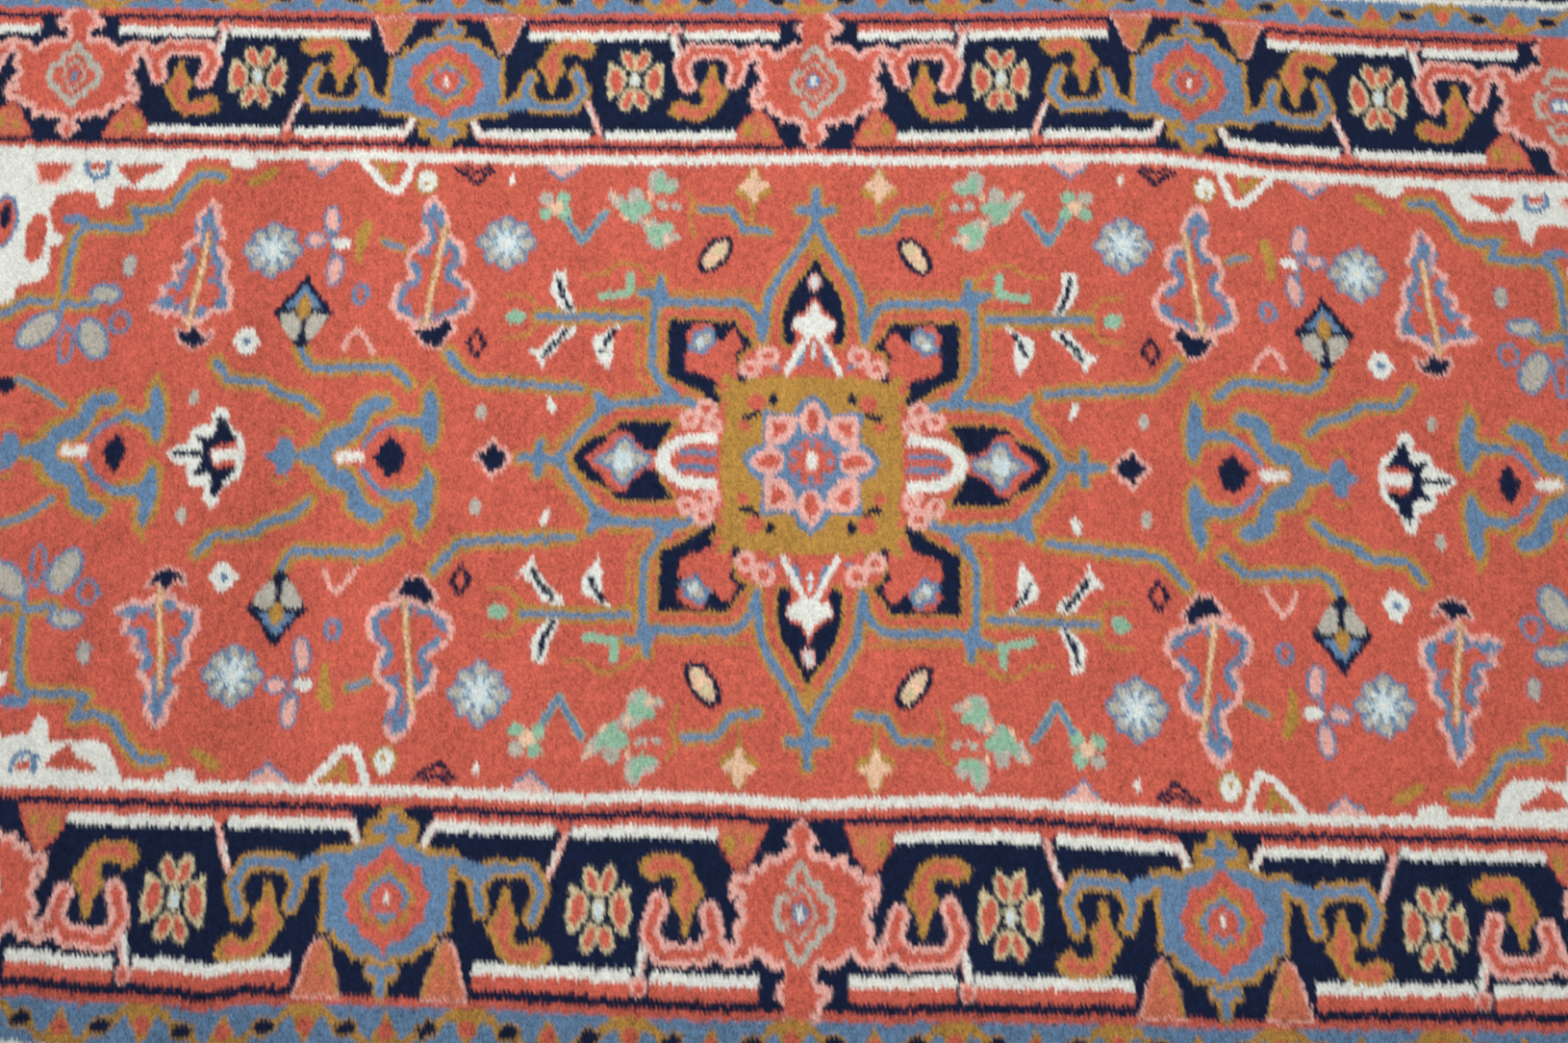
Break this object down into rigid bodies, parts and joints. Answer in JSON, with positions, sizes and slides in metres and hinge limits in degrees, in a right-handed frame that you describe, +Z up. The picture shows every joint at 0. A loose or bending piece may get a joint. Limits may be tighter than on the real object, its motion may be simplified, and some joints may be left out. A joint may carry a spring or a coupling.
{
  "type": "hand-knotted wool rug",
  "caption": "Flat hand-knotted wool runner with overcast long sides and a short warp fringe at both ends.",
  "frame": {"origin": "on the floor under the middle of the rug", "axes": "+X along the length, +Y across towards the far long side, +Z up from the back through the pile"},
  "size_m": [1.9166, 0.7955, 0.0116],
  "materials": {
    "wool_pile": "cut wool pile in madder red, navy, ivory and light blue",
    "selvedge_wool": "overcast navy wool yarn",
    "warp_cotton": "undyed twisted cotton"
  },
  "bodies": {
    "root": {"pile_body": "wool_pile", "selvedge_far": "selvedge_wool", "selvedge_near": "selvedge_wool", "fringe_left": "warp_cotton", "fringe_right": "warp_cotton"}
  },
  "joints": []
}
